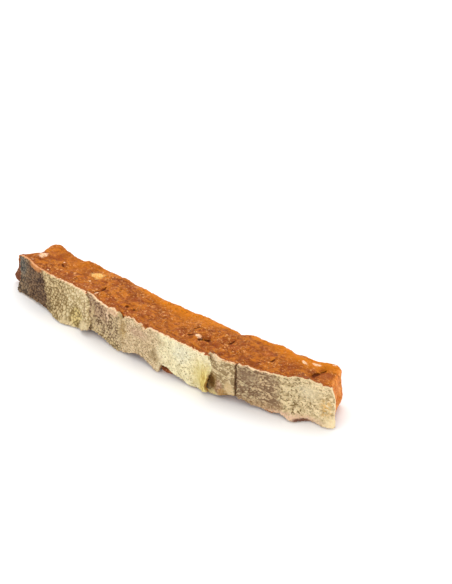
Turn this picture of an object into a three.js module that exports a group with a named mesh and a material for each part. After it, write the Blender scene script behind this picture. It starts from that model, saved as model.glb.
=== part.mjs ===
// A dried stick of pressed, minced salmon with the fish skin left on one long side.
// Millimetres, +Z up. X runs along the stick, -Y is the side with the skin, and the stick lies
// on its underside, which carries the diamond print of the drying net.
// The meat is one solid. The skin is four thin sheets: the first laps over the second, the
// second curls off the third, and a slit parts the third from the fourth.

import * as THREE from "three";
import { mergeVertices } from "three/addons/utils/BufferGeometryUtils.js";
import { ImprovedNoise } from "three/addons/math/ImprovedNoise.js";

// Driving dimensions of the whole stick. A "station" is a place along X.
const REACH = 70;               // the station lists below run from -REACH to +REACH in equal steps
const MEAT_FROM = -69.8;        // both ends of the meat stand a little out of the skin
const MEAT_TO = 64.4;
const TOP = 14.2;               // height of the flat cut top
const SKIN_THICK = 0.7;
const GAP = 0.3;                // between the meat and the skin, and where two sheets lap
const CLEAR_OF_TABLE = 0.4;     // lowest point of any skin

// Plan of the stick at nine equal stations: where the skin's face runs, and the width behind it.
const FACE_LINE = [-6.4, -11.3, -12.7, -16.0, -17.6, -18.2, -16.9, -12.9, -7.6];
const WIDTH = [15.2, 16.0, 16.7, 17.8, 18.4, 18.4, 18.2, 14.2, 11.8];
// How far the lower front edge of the meat is off the table: the stick dried a little warped.
const LIFT = [0.4, 0.7, 0.6, 2.2, 2.9, 1.4, 2.4, 1.0, 0.5];
const LIFT_FADE = 2.2;          // how fast that lift dies away towards the back

// Grid of the meat's surface, and the radius of its long edges and of its ends.
const MEAT_GRID = { along: 98, across: 12, up: 10 };
const EDGE_RADIUS = { topFront: 0.7, topBack: 1.5, bottomFront: 1.3, bottomBack: 2.0 };
const END_RADIUS = { leftFront: 0.7, leftBack: 3.2, rightTop: 2.5, rightBottom: 1.2 };
const EDGE_CROWDING = 1.15;     // radians of a sine that draws the grid lines towards the edges

// Relief of the meat: a slow swell, the lumps of mince, and its grain.
const SWELL = { size: 19, height: 0.75 };
const LUMPS = { size: 6, height: 0.42 };
const GRAIN = { size: 2.7, height: 0.22 };

// The net's print on the underside: pillows between crossing grooves.
const NET = { along: 11.2, across: 7.4, depth: 1.1, pillow: 0.5 };

const PILLOW_SINK = 0.35;       // what the stick's weight has pressed flat on the pillows

// Holes, cracks and loose flakes on the top: place, half sizes, turn in degrees and height.
const TOP_MARKS = [
  { x: 17.6, y: -10.8, long: 1.9, wide: 0.9, turn: 12, height: -1.6 },   // the deep hole
  { x: 14.9, y: -11.6, long: 1.7, wide: 1.1, turn: 20, height: 0.7 },    // the chunk beside it
  { x: 12.2, y: -12.0, long: 1.4, wide: 1.0, turn: 0, height: -0.6 },
  { x: 25.5, y: -7.3, long: 1.6, wide: 0.8, turn: 30, height: -0.8 },
  { x: 55.7, y: -6.4, long: 1.5, wide: 1.2, turn: 0, height: -1.3 },
  { x: 57.6, y: -2.4, long: 0.8, wide: 1.8, turn: -20, height: -0.9 },
  { x: -27.3, y: -8.1, long: 0.7, wide: 1.9, turn: -8, height: -0.8 },   // the short crack
  { x: -28.9, y: -10.4, long: 1.5, wide: 0.8, turn: 0, height: 0.5 },    // its lifted lip
  { x: -59.2, y: -2.6, long: 2.6, wide: 1.8, turn: 40, height: 0.5 },    // lump of fat
  { x: -42.5, y: 2.8, long: 1.3, wide: 1.0, turn: 0, height: 1.0 },      // crumbs on the back edge
  { x: -39.6, y: 3.2, long: 1.5, wide: 1.0, turn: 0, height: 1.0 },
];
// Bites and steps in the back edge, as changes of the width at a station.
const BACK_EDGE = [
  { at: 26.2, spread: 1.3, height: -1.5 },
  { at: 31.5, spread: 3.6, height: 0.8 },
  { at: 43.5, spread: 4.0, height: 0.9 },
  { at: 48.9, spread: 1.4, height: -1.3 },
  { at: -46.0, spread: 3.0, height: -0.6 },
  { at: 62.5, spread: 3.0, height: 1.5 },
];
// The front corner of the left end droops.
const LEFT_DROOP = { x: -68.0, y: -4.0, long: 4.5, wide: 5.0, turn: 0, height: -2.1 };
// The left end stands back behind its front edge, has a dent across it, and its foot stands in.
// Places across it are shares of the width, places up it are millimetres.
const LEFT_SLANT = 3.2;
const LEFT_DENT = { at: 0.45, spread: 0.2, height: 1.7 };
const LEFT_FOOT = { up: 2.5, inwards: 0.7 };
// The knob of meat that stands out of the left end, behind the skin's edge.
const LEFT_KNOB = { back: 1.4, up: 2.0, deep: 2.4, high: 3.2, out: 3.2 };
// The right end: a foot that stands in towards the back, and a slight belly above it.
const RIGHT_FOOT = { up: 4.0, inwards: 0.5 };
const RIGHT_BELLY = { at: 4.0, spread: 4.0, height: 0.7 };
const END_FADE = 12;            // length over which the shape of an end dies away

// The skin's two long edges: a level, and what rises or falls from it along the stick.
const SKIN_TOP = 14.55;
const SKIN_TOP_EDGE = [
  { at: -67.5, spread: 3.0, height: -1.2 },
  { at: -28.0, spread: 3.2, height: 1.1 },
  { at: -16.0, spread: 1.7, height: 0.8 },
  { at: -12.4, spread: 0.9, height: -1.9 },
  { at: -8.4, spread: 1.6, height: 0.7 },
  { at: -2.2, spread: 1.1, height: -1.4 },
  { at: 6.0, spread: 5.0, height: 0.5 },
  { at: 19.6, spread: 2.8, height: -0.4 },
  { at: 25.6, spread: 1.5, height: 1.6 },
  { at: 37.0, spread: 5.0, height: 0.4 },
  { at: 55.2, spread: 2.5, height: 1.9 },
  { at: 62.0, spread: 2.2, height: 0.3 },
  { at: 66.2, spread: 1.1, height: -1.5 },
];
const SKIN_BOTTOM = 0.5;
const SKIN_BOTTOM_EDGE = [
  { at: -52.5, spread: 4.6, height: 0.7 },
  { at: -24.8, spread: 5.0, height: 1.9 },
  { at: -14.6, spread: 1.8, height: -0.5 },
  { at: -5.0, spread: 5.2, height: 2.4 },
  { at: 4.3, spread: 1.1, height: -1.3 },
  { at: 7.6, spread: 2.4, height: 2.3 },
  { at: 12.6, spread: 3.4, height: 1.2 },
  { at: 24.4, spread: 2.0, height: 0.5 },
  { at: 33.6, spread: 7.2, height: 2.2 },
  { at: 48.6, spread: 1.9, height: 1.0 },
];
// Where the lower edge of the skin stands away from the meat, and how high up that reaches.
const FLARE = [
  { at: -40.0, spread: 7.0, height: 3.7 },
  { at: -30.4, spread: 2.4, height: 0.8 },
  { at: -67.0, spread: 3.2, height: 1.0 },
  { at: -60.0, spread: 9.0, height: 1.1 },
  { at: -14.6, spread: 1.8, height: 0.6 },
  { at: 3.4, spread: 1.6, height: 0.7 },
  { at: 53.4, spread: 2.6, height: 2.2 },
  { at: 63.8, spread: 3.6, height: 1.7 },
];
const FLARE_REACH = 6.5;
const SKIN_WAVE = { size: 8.5, height: 0.55 };
const SKIN_RAG = { size: 1.9, height: 0.32 };   // unevenness of the torn edges

// The sheets: stations of their ends, how far the corners of the right end stand out, and the
// grid. Each has the shape of its own lifts.
const LAP = SKIN_THICK + GAP;
const SKINS = [
  {
    name: "skin_first", color: 0x8f8264, from: -65.9, to: -27.6, along: 28, up: 10,
    corner: { low: 0.7, high: -0.6 },
    // The right end lies over the next sheet and its lower corner sticks out as a flap.
    lift: (x, z) => LAP * rise(x, -31.6, -29.4) + 0.8 * rise(x, -33.5, -29) * fall(z, 3, 6.5),
  },
  {
    name: "skin_second", color: 0xcfc4a2, from: -29.6, to: 25.7, along: 38, up: 10,
    corner: { low: -1.0, high: 0 },
    // A rounded bump before the step, then the right end curls off the third sheet.
    lift: (x, z) => 0.9 * hump(x, { at: -14.6, spread: 1.7, height: 1 }) * rise(z, 3, 8)
      + 0.5 * hump(x, { at: -18.6, spread: 0.9, height: 1 })
      + LAP * rise(x, 21.4, 23.4)
      + 1.7 * rise(x, 22.2, 25.4) * hump(z, { at: 4.4, spread: 3.1, height: 1 })
      + 0.9 * rise(x, 23.4, 25.4) * rise(z, 11.5, 15),
  },
  {
    name: "skin_third", color: 0x9a927c, from: 24.2, to: 34.0, along: 8, up: 10,
    corner: { low: 0, high: 0 },
    lift: (x, z) => 0.6 * hump(x, { at: 29.2, spread: 1.8, height: 1 }) * fall(z, 5, 9),
  },
  {
    name: "skin_fourth", color: 0xb3a88a, from: 34.7, to: 65.5, along: 23, up: 10,
    corner: { low: 0.6, high: -1.3 },
    lift: (x, z) => 0.35 * fall(x, 35.7, 38.2) + 0.4 * rise(x, 52, 56) * rise(z, 12, 16),
  },
];

const COLOR = { meat: 0xc4642a };
const ROUGHNESS = { meat: 0.45, skin: 0.7 };

const perlin = new ImprovedNoise();
const UP = new THREE.Vector3(0, 0, 1);

function rise(value, from, to) {
  return THREE.MathUtils.smoothstep(value, from, to);
}

function fall(value, from, to) {
  return 1 - rise(value, from, to);
}

function hump(value, { at, spread, height }) {
  return height * Math.exp(-(((value - at) / spread) ** 2));
}

function humps(value, list) {
  return list.reduce((sum, item) => sum + hump(value, item), 0);
}

// Uneven relief with lumps of one size. The seed picks another stretch of the same noise.
function uneven(point, { size, height }, seed) {
  return height * perlin.noise(point.x / size + seed, point.y / size - seed, point.z / size + seed);
}

// A smooth line through values that stand at equal stations.
function along(values) {
  const curve = new THREE.SplineCurve(values.map((value, i) => new THREE.Vector2(i, value)));
  return (x) => curve.getPoint(THREE.MathUtils.clamp((x + REACH) / (2 * REACH), 0, 1)).y;
}

const faceLine = along(FACE_LINE);
const widthAt = along(WIDTH);
const liftAt = along(LIFT);

// The place behind the skin's face at a station: `depth` is measured square to the face.
function place(x, depth, z) {
  const step = 0.5;
  const slope = (faceLine(x + step) - faceLine(x - step)) / (2 * step);
  const length = Math.hypot(1, slope);
  return new THREE.Vector3(x - (slope / length) * depth, faceLine(x) + depth / length, z);
}

// A closed box of unit size, with only its positions kept and its corners shared.
function unitBox(alongCount, acrossCount, upCount) {
  const box = new THREE.BoxGeometry(1, 1, 1, alongCount, acrossCount, upCount);
  box.deleteAttribute("normal");
  box.deleteAttribute("uv");
  return mergeVertices(box, 1e-5);
}

function reshape(geometry, map) {
  const position = geometry.attributes.position;
  const corner = new THREE.Vector3();
  for (let i = 0; i < position.count; i += 1) {
    corner.fromBufferAttribute(position, i);
    const moved = map(corner);
    position.setXYZ(i, moved.x, moved.y, moved.z);
  }
  geometry.computeVertexNormals();
  return geometry;
}

// The radius of the meat's edges changes from edge to edge and again at the two ends.
function edgeRadius(across, up, endRadius, endShare) {
  const front = THREE.MathUtils.lerp(EDGE_RADIUS.bottomFront, EDGE_RADIUS.topFront, up);
  const back = THREE.MathUtils.lerp(EDGE_RADIUS.bottomBack, EDGE_RADIUS.topBack, up);
  return THREE.MathUtils.lerp(THREE.MathUtils.lerp(front, back, across), endRadius, endShare);
}

function netPrint(x, y) {
  const one = Math.sin(Math.PI * (x / NET.along + y / NET.across));
  const other = Math.sin(Math.PI * (x / NET.along - y / NET.across));
  return NET.depth * fall(Math.abs(one * other), 0, NET.pillow);
}

// The height that a soft oval mark adds at a place.
function oval(x, y, mark) {
  const turn = THREE.MathUtils.degToRad(mark.turn);
  const u = (x - mark.x) * Math.cos(turn) + (y - mark.y) * Math.sin(turn);
  const v = (y - mark.y) * Math.cos(turn) - (x - mark.x) * Math.sin(turn);
  return mark.height * Math.exp(-((u / mark.long) ** 2) - (v / mark.wide) ** 2);
}

// How far the two ends stand in or out, by the share of the width and the height.
function leftEnd(across, z) {
  const foot = LEFT_FOOT.inwards * fall(z, 0, LEFT_FOOT.up) * (1 - across);
  return LEFT_SLANT * rise(across, 0.1, 0.5) + hump(across, LEFT_DENT) + foot;
}

function rightEnd(across, z) {
  return hump(z, RIGHT_BELLY) - RIGHT_FOOT.inwards * fall(z, 0, RIGHT_FOOT.up) * across;
}

function leftKnob(depth, z) {
  const away = Math.hypot((depth - LEFT_KNOB.back) / LEFT_KNOB.deep, (z - LEFT_KNOB.up) / LEFT_KNOB.high);
  return LEFT_KNOB.out * Math.exp(-(away ** 2));
}

// One point of the meat. The unit box is first a block with rounded edges, then the block is
// fitted between the skin and the back, laid along the bow of the stick, and given its relief.
function meatPoint(unit) {
  const crowd = (share) => Math.sin(2 * share * EDGE_CROWDING) / Math.sin(EDGE_CROWDING) / 2;
  const block = new THREE.Vector3(MEAT_TO - MEAT_FROM, WIDTH[4], TOP);
  const half = block.clone().multiplyScalar(0.5);
  const onBlock = new THREE.Vector3(unit.x, crowd(unit.y), crowd(unit.z)).multiply(block);
  const endShare = rise(Math.abs(onBlock.x), half.x - 4, half.x);
  const leftRadius = THREE.MathUtils.lerp(END_RADIUS.leftFront, END_RADIUS.leftBack, unit.y + 0.5);
  const rightRadius = THREE.MathUtils.lerp(END_RADIUS.rightBottom, END_RADIUS.rightTop, unit.z + 0.5);
  const endRadius = unit.x < 0 ? leftRadius : rightRadius;
  const radius = edgeRadius(onBlock.y / block.y + 0.5, onBlock.z / block.z + 0.5, endRadius, endShare);
  const inner = half.clone().subScalar(radius);
  const core = onBlock.clone().clamp(inner.clone().negate(), inner);
  const facing = onBlock.clone().sub(core).normalize();
  const rounded = core.add(facing.clone().multiplyScalar(radius));

  const across = rounded.y / block.y + 0.5;
  const up = rounded.z / block.z + 0.5;
  const nearEnd = rise(Math.abs(rounded.x), half.x - END_FADE, half.x);
  const endShape = rounded.x < 0 ? leftEnd(across, up * TOP) : rightEnd(across, up * TOP);
  const x = rounded.x + (MEAT_FROM + MEAT_TO) / 2 + endShape * nearEnd;
  const behindSkin = SKIN_THICK + GAP;
  const width = widthAt(x) + humps(x, BACK_EDGE) * rise(up, 0.2, 0.8);
  const depth = THREE.MathUtils.lerp(behindSkin, width, across);
  const bottom = liftAt(x) * (1 - across) ** LIFT_FADE;
  const point = place(x, depth, THREE.MathUtils.lerp(bottom, TOP, up));

  const relief = uneven(point, SWELL, 3.1) + uneven(point, LUMPS, 7.7) + uneven(point, GRAIN, 1.9);
  const atFront = rise(-facing.y, 0.3, 0.9);
  // Under the skin the meat stays back; anywhere else it swells and sinks both ways.
  const push = THREE.MathUtils.lerp(relief, -0.3 * Math.abs(relief), atFront);
  const normal = place(x, 1, 0).sub(place(x, 0, 0)).multiplyScalar(facing.y);
  normal.x += facing.x;
  normal.z += facing.z;
  point.addScaledVector(normal, push);

  const marks = TOP_MARKS.reduce((sum, mark) => sum + oval(point.x, point.y, mark), 0);
  point.z += marks * rise(facing.z, 0.5, 0.95) + oval(point.x, point.y, LEFT_DROOP) * up ** 2;
  const below = rise(-facing.z, 0.5, 0.95);
  point.z += (netPrint(point.x, point.y) - PILLOW_SINK) * below;
  point.x -= leftKnob(depth, point.z) * rise(-facing.x, 0.5, 1);
  point.z = Math.max(point.z, 0);
  return point;
}

// One point of a skin sheet. X runs along the sheet, Z from its lower to its upper edge, and
// Y from its outer to its inner face.
function skinPoint(sheet, unit) {
  const up = unit.z + 0.5;
  const seed = sheet.from;
  const rag = (x, z) => uneven(new THREE.Vector3(x, seed, z), SKIN_RAG, 5.3);
  const from = sheet.from + rag(0, up * TOP);
  const lowCorner = Math.max(1 - (up * TOP) / FLARE_REACH, 0) ** 2;
  const corner = sheet.corner.low * lowCorner + sheet.corner.high * rise(up, 0.7, 1);
  const to = sheet.to + rag(9, up * TOP) + corner;
  const x = THREE.MathUtils.lerp(from, to, unit.x + 0.5);
  const top = SKIN_TOP + humps(x, SKIN_TOP_EDGE) + rag(x, 20);
  const lower = SKIN_BOTTOM + humps(x, SKIN_BOTTOM_EDGE) + rag(x, 40);
  const bottom = Math.max(lower, CLEAR_OF_TABLE);
  const z = THREE.MathUtils.lerp(bottom, top, up);
  const low = Math.max(1 - (z - bottom) / FLARE_REACH, 0) ** 2;
  const wave = SKIN_WAVE.height / 2 + uneven(new THREE.Vector3(x, 0, z), SKIN_WAVE, 2.3);
  const out = Math.max(wave, 0) + humps(x, FLARE) * low + sheet.lift(x, z);
  return place(x, -out + (unit.y + 0.5) * SKIN_THICK, z);
}

function meatMesh() {
  const { along: alongCount, across, up } = MEAT_GRID;
  const geometry = reshape(unitBox(alongCount, across, up), meatPoint);
  const material = new THREE.MeshStandardMaterial({ color: COLOR.meat, roughness: ROUGHNESS.meat });
  const mesh = new THREE.Mesh(geometry, material);
  mesh.name = "salmon_meat";
  return mesh;
}

function skinMesh(sheet) {
  const geometry = reshape(unitBox(sheet.along, 1, sheet.up), (unit) => skinPoint(sheet, unit));
  const material = new THREE.MeshStandardMaterial({ color: sheet.color, roughness: ROUGHNESS.skin });
  const mesh = new THREE.Mesh(geometry, material);
  mesh.name = sheet.name;
  return mesh;
}

const stick = new THREE.Group();
stick.add(meatMesh());
for (const sheet of SKINS) {
  stick.add(skinMesh(sheet));
}

// The origin is under the middle of the stick, on the table.
const box = new THREE.Box3().setFromObject(stick);
const middle = box.getCenter(new THREE.Vector3());
stick.position.copy(middle).negate().addScaledVector(UP, middle.z - box.min.z);

export default stick;
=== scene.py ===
"""A dried stick of pressed, minced salmon with torn strips of its skin along one long side.

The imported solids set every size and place. Here the meat and the four strips of skin get their fine
surface and their finish, on a plain white table under soft light. Lengths on the stick are in
millimetres and become metres where Blender takes them, and those of the studio are in metres.
"""

import bmesh
import bpy
import numpy as np
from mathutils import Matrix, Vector, noise
from mathutils.bvhtree import BVHTree


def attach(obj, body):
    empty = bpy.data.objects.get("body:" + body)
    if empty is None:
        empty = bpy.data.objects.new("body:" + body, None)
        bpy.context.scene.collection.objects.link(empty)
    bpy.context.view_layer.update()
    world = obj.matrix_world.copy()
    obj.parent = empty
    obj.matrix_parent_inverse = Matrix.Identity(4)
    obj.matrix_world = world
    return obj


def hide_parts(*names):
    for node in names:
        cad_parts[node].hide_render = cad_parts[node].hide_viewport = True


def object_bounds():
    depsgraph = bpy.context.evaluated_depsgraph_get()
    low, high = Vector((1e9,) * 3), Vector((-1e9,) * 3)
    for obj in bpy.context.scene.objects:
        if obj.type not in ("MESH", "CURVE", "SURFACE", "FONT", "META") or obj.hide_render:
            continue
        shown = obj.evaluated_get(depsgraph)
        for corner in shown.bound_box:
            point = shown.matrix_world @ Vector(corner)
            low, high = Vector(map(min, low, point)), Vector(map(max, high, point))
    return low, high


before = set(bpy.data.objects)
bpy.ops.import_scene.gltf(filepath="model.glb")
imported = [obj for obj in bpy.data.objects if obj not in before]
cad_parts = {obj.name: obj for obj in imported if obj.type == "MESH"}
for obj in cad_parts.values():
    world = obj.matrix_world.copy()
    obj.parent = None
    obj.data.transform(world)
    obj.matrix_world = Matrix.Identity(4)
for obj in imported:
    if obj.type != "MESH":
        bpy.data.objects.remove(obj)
cad_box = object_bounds()


# ---------------------------------------------------------------------------------------------
# The meat: salmon minced, pressed into a slab, dried until it is amber, and cut into sticks. Its
# top is a cut, its back and ends are rough, and its underside keeps the print of the drying net.
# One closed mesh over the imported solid, with the grains, pits and cracks of the mince as relief.

MM = 0.001
SHIFT_X = 3.107             # from the stations along the stick to the part's own X and Y
SHIFT_Y = 6.815

MEAT_LEVELS = 2
GRAIN_SIZE = 2.3            # the rounded grains of the mince, and the depth of the seams between
GRAIN_SEAM = 0.2
GRAIN_FACE_SHARE = 0.45     # how much of that is left on the cut top
LUMP_SIZE = 2.8             # the low lumps of the cut top
LUMP_HEIGHT = 0.3
FINE_SIZE = 0.8             # the finest grain that is in the mesh
FINE_HEIGHT = 0.13
PAINTED_GLOW_WIDTH = 5.5       # the thin zone along the back edge that is painted paler, a painted glow of light shining through the meat

NET_ALONG = 11.2            # the net's print: diamonds of this size
NET_ACROSS = 7.4

BULGE_FROM = 4.5            # the stations between which the meat's foot shows in the skin's notch
BULGE_TO = 11.0
BULGE_OUT = 1.3
BULGE_DOWN = 1.9

FAR = 1000                  # further than any place on the stick

MEAT_DARK = (134, 64, 14)
MEAT_LIGHT = (196, 114, 30)
MEAT_RED = (150, 70, 28)
MEAT_SMEAR = (214, 136, 76)
MEAT_PAINTED_GLOW = (212, 122, 10)
MEAT_BRINK = (146, 96, 44)
MEAT_SHADED_BEHIND_SKIN = (104, 58, 34)
MEAT_BELOW = (150, 66, 24)
SAWN_GLOW_DARK = (224, 116, 30)
SAWN_GLOW_LIGHT = (252, 166, 84)
CRACK = (108, 44, 12)
SEAM = (116, 50, 14)
PIT = (124, 56, 16)
HOLE_SHADE = (88, 32, 6)
FLECK_AND_GLINT = (236, 168, 104)
WAXY_DARK = (236, 164, 78)
WAXY_LIGHT = (254, 212, 132)
SCRAP_DARK = (228, 156, 104)
SCRAP_LIGHT = (255, 220, 182)
NET_CRUMB = (232, 176, 118)

# Marks that the cut opened in the top: station, Y, half length, half width, turn, height.
TOP_HOLES = (
    (16.6, -11.7, 1.0, 0.5, 62, -1.0),
    (18.0, -10.2, 1.1, 0.5, 35, -1.1),
    (12.2, -11.5, 0.8, 0.45, 14, -0.4),
    (12.0, -7.8, 1.4, 0.22, 59, -0.3),
    (25.1, -6.7, 1.5, 0.28, 82, -0.5),
    (38.9, -11.1, 0.4, 0.25, 21, -0.3),
    (41.7, -7.8, 1.0, 0.28, 76, -0.4),
    (57.0, -2.2, 1.1, 0.3, 69, -0.6),
    (56.0, -5.0, 1.4, 0.6, 60, -0.7),
    (62.3, -4.5, 0.25, 0.2, 0, -0.2),
    (-14.3, -11.1, 0.6, 0.5, -9, -0.9),
    (-11.4, -11.1, 0.45, 0.4, -11, -0.7),
    (-4.2, -11.9, 0.45, 0.15, 51, -0.2),
    (-0.8, -8.4, 0.45, 0.15, 37, -0.2),
    (-27.7, -7.3, 1.6, 0.26, 97, -0.8),
    (-28.5, -10.3, 1.4, 0.16, 70, -0.4),
    (-49.4, -3.5, 1.0, 0.3, -34, -0.3),
)
# Pale fat and dried scraps on the top: station, Y, half length, half width, turn, height.
FAT_LUMPS = (
    (-59.6, -2.9, 2.0, 1.1, -33, 0.3),
    (-58.6, -2.2, 0.9, 1.5, 20, 0.2),
    (-61.8, -6.0, 0.7, 0.35, 10, 0.1),
    (-43.2, 3.3, 1.0, 0.6, -11, 0.35),
    (-40.6, 3.5, 1.0, 0.6, 8, 0.35),
    (-40.1, -10.5, 0.35, 0.3, 0, 0.1),
    (-35.0, -5.9, 0.45, 0.3, 60, 0.1),
    (-50.1, -1.9, 0.35, 0.3, 0, 0.1),
    (-51.8, -8.5, 0.4, 0.3, 0, 0.1),
    (-28.0, -10.9, 0.9, 0.35, 55, 0.25),
    (15.3, -11.1, 1.2, 0.9, 13, 0.45),
    (50.0, -2.6, 1.0, 0.55, -7, 0.15),
    (53.8, -1.1, 1.6, 0.5, 6, 0.15),
    (57.9, 2.3, 0.6, 0.4, 25, 0.1),
)
# A smear of waxy yellow fat, which has no height.
YELLOW_PATCH = (-35.2, -1.6, 2.7, 1.8, 9, 0)
# Low places in the top: station, Y, half length, half width, turn, height.
TOP_DIPS = (
    (49.6, 2.2, 4.2, 2.6, 8, -1.0),
    (58.5, 0.4, 2.0, 3.0, 20, -0.3),
    (-44.0, 5.6, 2.0, 1.6, -20, -0.5),
)


def coordinates(mesh):
    """The places of a mesh's corners in millimetres, one row each."""
    flat = np.empty(len(mesh.vertices) * 3, dtype=np.float32)
    mesh.vertices.foreach_get("co", flat)
    return flat.reshape(-1, 3).astype(float) / MM


def facings(mesh):
    """The directions that a mesh's corners face."""
    flat = np.empty(len(mesh.vertices) * 3, dtype=np.float32)
    mesh.vertices.foreach_get("normal", flat)
    return flat.reshape(-1, 3).astype(float)


def place(mesh, points):
    """Moves a mesh's corners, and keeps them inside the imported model's box."""
    low, high = (np.array(corner) / MM for corner in cad_box)
    inside = np.clip(points, low, high)
    mesh.vertices.foreach_set("co", (inside * MM).astype(np.float32).ravel())
    mesh.update()


def remember(mesh, name, values):
    """Keeps one number for each corner, which the material reads."""
    layer = mesh.attributes.new(name, "FLOAT", "POINT")
    layer.data.foreach_set("value", np.asarray(values, dtype=np.float32))


def ramp(values, low, high):
    """0 below low, 1 above high, and a smooth rise between."""
    share = np.clip((values - low) / (high - low), 0, 1)
    return share * share * (3 - 2 * share)


def swell(points, size, seed):
    """Smooth noise from -1 to 1 with lumps of one size."""
    scaled = points / size + seed
    return np.array([noise.noise(Vector(p)) for p in scaled])


def cells(points, size, seed):
    """Cells round scattered points: how far each corner is from the border of its cell."""
    nearest = [noise.voronoi(Vector(p))[0] for p in points / size + seed]
    return np.array([distances[1] - distances[0] for distances in nearest])


def spot(points, mark):
    """How near each corner is to an oval mark on the top: 1 in its middle, 0 outside it."""
    station, y, half_length, half_width, turn, _ = mark
    angle = np.radians(turn)
    across = points[:, 0] - station - SHIFT_X
    along = points[:, 1] - y - SHIFT_Y
    u = (across * np.cos(angle) + along * np.sin(angle)) / half_length
    v = (along * np.cos(angle) - across * np.sin(angle)) / half_width
    return np.exp(-(u**2 + v**2))


def fine_copy(node, name, levels, crease_from=None):
    """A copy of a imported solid, welded, paired into quads and smoothly subdivided."""
    bm = bmesh.new()
    bm.from_mesh(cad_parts[node].data)
    bmesh.ops.remove_doubles(bm, verts=bm.verts, dist=1e-6)
    bmesh.ops.join_triangles(
        bm, faces=bm.faces, angle_face_threshold=np.pi, angle_shape_threshold=np.pi
    )
    if crease_from is not None:
        bm.normal_update()
        depth = bm.verts.layers.float.new("depth")
        crease = bm.edges.layers.float.new("crease_edge")
        for vert in bm.verts:
            vert[depth] = 1.0 if vert.normal.y > 0 else 0.0
        for edge in bm.edges:
            if edge.calc_face_angle(0) > crease_from:
                edge[crease] = 0.8
    mesh = bpy.data.meshes.new(name)
    bm.to_mesh(mesh)
    bm.free()
    piece = bpy.data.objects.new(name, mesh)
    bpy.context.collection.objects.link(piece)
    smoother = piece.modifiers.new("smooth", "SUBSURF")
    smoother.levels = levels
    smoother.render_levels = levels
    shaped = piece.evaluated_get(bpy.context.evaluated_depsgraph_get())
    fine = bpy.data.meshes.new_from_object(shaped)
    piece.modifiers.clear()
    piece.data = fine
    piece.data.name = name
    piece.data.materials.clear()
    for face in piece.data.polygons:
        face.use_smooth = True
    return piece


class Value:
    """A number or colour that varies over a surface. Arithmetic on it adds Math nodes."""

    def __init__(self, recipe, socket):
        self.recipe = recipe
        self.socket = socket

    def __add__(self, other):
        return self.recipe.maths("ADD", self, other)

    def __sub__(self, other):
        return self.recipe.maths("SUBTRACT", self, other)

    def __rsub__(self, other):
        return self.recipe.maths("SUBTRACT", other, self)

    def __mul__(self, other):
        return self.recipe.maths("MULTIPLY", self, other)

    __radd__ = __add__
    __rmul__ = __mul__


class Recipe:
    """One material: its nodes, from the places on the surface to the finish."""

    def __init__(self, name):
        self.material = bpy.data.materials.new(name)
        self.material.use_nodes = True
        self.tree = self.material.node_tree
        self.tree.nodes.clear()

    def node(self, kind, settings=None, sockets=None, output=0):
        """A node of one kind: its settings first, then the values and links of its sockets."""
        made = self.tree.nodes.new("ShaderNode" + kind)
        for name, value in (settings or {}).items():
            setattr(made, name, value)
        for name, value in (sockets or {}).items():
            if isinstance(value, Value):
                self.tree.links.new(value.socket, made.inputs[name])
            else:
                made.inputs[name].default_value = value
        return Value(self, made.outputs[output]) if len(made.outputs) else None

    def maths(self, operation, first, second):
        return self.node("Math", {"operation": operation}, {0: first, 1: second})

    def places(self, stretch=(1, 1, 1), turn=0.0):
        """Object coordinates in millimetres, stretched and turned about Y."""
        where = self.node("TexCoord", output="Object")
        sizes = [share / MM for share in stretch]
        sockets = {"Vector": where, "Rotation": (0, turn, 0), "Scale": sizes}
        return self.node("Mapping", None, sockets)

    def axis(self, letter):
        """One of the object coordinates, in millimetres."""
        return self.node("SeparateXYZ", None, {"Vector": self.places()}, letter)

    def kept(self, name):
        """A number that the mesh keeps for each corner."""
        return self.node("Attribute", {"attribute_name": name}, output="Fac")

    def cloud(self, size, detail=3.0, warp=0.0, where=None):
        """Noise from about 0 to 1 with lumps of one size."""
        sockets = {
            "Vector": where or self.places(),
            "Scale": 1 / size,
            "Detail": detail,
            "Roughness": 0.55,
            "Distortion": warp,
        }
        return self.node("TexNoise", None, sockets)

    def rise(self, value, low, high):
        """0 below low, 1 above high, and a smooth rise between. Low may be above high."""
        settings = {"interpolation_type": "SMOOTHSTEP"}
        sockets = {"Value": value, "From Min": low, "From Max": high}
        return self.node("MapRange", settings, sockets)

    def mix(self, share, first, second):
        """The first colour where the share is 0, the second where it is 1."""
        sockets = {0: share, 6: first, 7: second}
        return self.node("Mix", {"data_type": "RGBA"}, sockets, 2)

    def wander(self, size, amount):
        """Object coordinates in millimetres, pushed to and fro so that outlines turn uneven."""
        sockets = {"Vector": self.places(), "Scale": 1 / size, "Detail": 3.0}
        push = self.node("TexNoise", None, sockets, "Color")
        push = self.node("VectorMath", {"operation": "SUBTRACT"}, {0: push, 1: (0.5, 0.5, 0.5)})
        sockets = {0: push, 1: (2 * amount, 2 * amount, 2 * amount), 2: self.places()}
        return self.node("VectorMath", {"operation": "MULTIPLY_ADD"}, sockets)

    def oval(self, where, centre, half, turn):
        """0 in the middle of an oval mark, 1 on its outline, and more outside it."""
        sockets = {"Vector": where, "Location": centre, "Rotation": turn, "Scale": half}
        inside = self.node("Mapping", {"vector_type": "TEXTURE"}, sockets)
        return self.node("VectorMath", {"operation": "LENGTH"}, {0: inside}, "Value")

    def finish(self, colour, roughness, height, bump, **fixed):
        """The surface: what varies comes as values, what is the same all over as numbers."""
        normal = self.node("Bump", None, {"Height": height, "Strength": 1.0, "Distance": bump * MM})
        sockets = {"Base Color": colour, "Roughness": roughness, "Normal": normal}
        for name, value in fixed.items():
            sockets[name.replace("_", " ")] = value
        shader = self.node("BsdfPrincipled", None, sockets)
        self.node("OutputMaterial", None, {"Surface": shader})
        return self.material


def colour(red, green, blue):
    """A colour from its usual 0 to 255 values."""
    share = np.array([red, green, blue]) / 255
    linear = np.where(share <= 0.04045, share / 12.92, ((share + 0.055) / 1.055) ** 2.4)
    return (*(float(part) for part in linear), 1.0)


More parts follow.
